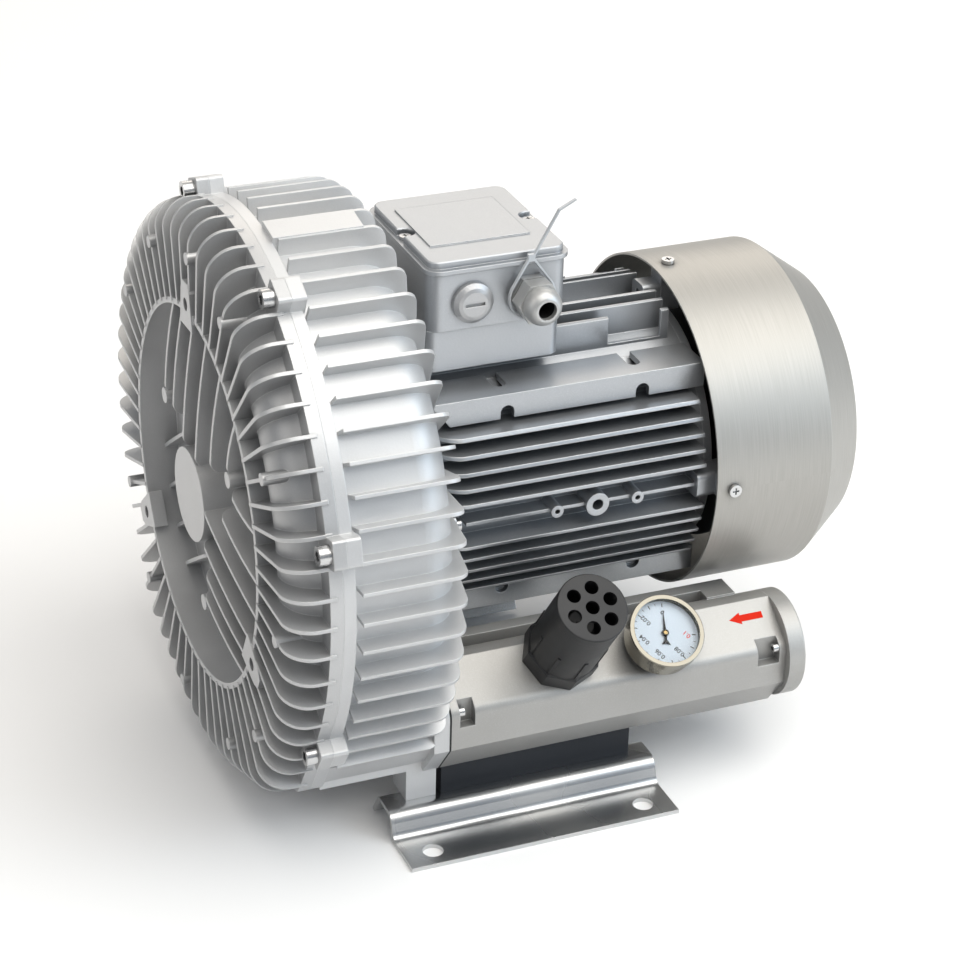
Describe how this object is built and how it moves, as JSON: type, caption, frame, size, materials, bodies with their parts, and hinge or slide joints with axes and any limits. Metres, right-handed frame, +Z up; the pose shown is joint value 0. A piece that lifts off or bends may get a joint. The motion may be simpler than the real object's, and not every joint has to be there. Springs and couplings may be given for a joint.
{
  "type": "side channel blower",
  "caption": "Finned side channel blower with a flanged motor, silencers with threaded ports, foot rails, a relief valve and a vacuum gauge",
  "frame": {"origin": "middle of the four foot holes, on the ground", "axes": "+X along the shaft from the blower housing to the fan cowl, +Z up, the relief valve and gauge on the -Y side"},
  "size_m": [0.4626, 0.4098, 0.4215],
  "materials": {
    "cast_silver": "silver paint over cast aluminium, fine grain",
    "cowl_sheet": "silver painted sheet steel",
    "zinc_sheet": "bright zinc plated sheet",
    "screw_steel": "zinc plated steel",
    "shaft_steel": "ground steel",
    "lamination": "stacked sheet, varnished",
    "winding": "varnished copper wire",
    "bare_aluminium": "bare cast aluminium",
    "seal_rubber": "black rubber",
    "foam": "open foam",
    "black_plastic": "black moulded plastic",
    "grey_plastic": "grey moulded plastic",
    "brass": "turned brass",
    "chrome": "polished",
    "dial_white": "bluish white enamel",
    "pointer_black": "black enamel",
    "gauge_glass": "clear"
  },
  "bodies": {
    "blower": {"blind_plug": "grey_plastic", "casing_screws": "screw_steel", "cover_screws": "screw_steel", "cowl_screws": "screw_steel", "fan_cowl": "cowl_sheet", "far_foam": "foam", "far_foot": "zinc_sheet", "far_gasket": "seal_rubber", "far_port": "cast_silver", "far_silencer": "cast_silver", "foot_bolts": "screw_steel", "front_bearing_outer": "shaft_steel", "front_cover": "cast_silver", "gauge_bezel": "chrome", "gauge_case": "chrome", "gauge_dial": "dial_white", "gauge_glass": "gauge_glass", "gauge_stem": "brass", "gland_body": "grey_plastic", "gland_nut": "grey_plastic", "gland_seal": "seal_rubber", "gland_tie": "grey_plastic", "housing_seal": "seal_rubber", "motor_frame": "cast_silver", "motor_screws": "screw_steel", "near_foam": "foam", "near_foot": "zinc_sheet", "near_gasket": "seal_rubber", "near_port": "cast_silver", "near_silencer": "cast_silver", "rear_bearing_outer": "shaft_steel", "rear_end_shield": "cast_silver", "rear_housing": "cast_silver", "shaft_seal": "seal_rubber", "silencer_screws": "screw_steel", "stator_core": "lamination", "stator_windings": "winding", "terminal_block": "black_plastic", "terminal_box": "cast_silver", "terminal_box_cover": "cast_silver", "terminal_box_gasket": "seal_rubber", "terminal_studs": "brass", "valve_body": "black_plastic", "valve_cap": "black_plastic", "valve_nut": "black_plastic", "valve_spring": "screw_steel", "wave_washer": "screw_steel"},
    "rotor": {"impeller": "bare_aluminium", "impeller_key": "screw_steel", "impeller_screw": "screw_steel", "motor_shaft": "shaft_steel", "rotor_core": "lamination", "front_bearing_inner": "shaft_steel", "rear_bearing_inner": "shaft_steel", "cooling_fan": "grey_plastic"},
    "relief_poppet": {"valve_poppet": "black_plastic"},
    "gauge_needle": {"gauge_pointer": "pointer_black"}
  },
  "joints": [
    {"name": "rotor_spin", "type": "hinge", "parent": "blower", "child": "rotor", "pos_m": [0, 0, 0.2145], "axis": [1, 0, 0], "continuous": true},
    {"name": "relief_lift", "type": "slide", "parent": "blower", "child": "relief_poppet", "axis": [0, 0.6088, -0.7934], "range_m": [0, 0.006], "stiffness_N_per_m": 900, "springref_m": -0.01, "deforming": ["valve_spring"]},
    {"name": "needle_turn", "type": "hinge", "parent": "blower", "child": "gauge_needle", "pos_m": [0.097, -0.15039, 0.12897], "axis": [0, -0.6088, 0.7934], "range_deg": [0, 270]}
  ]
}
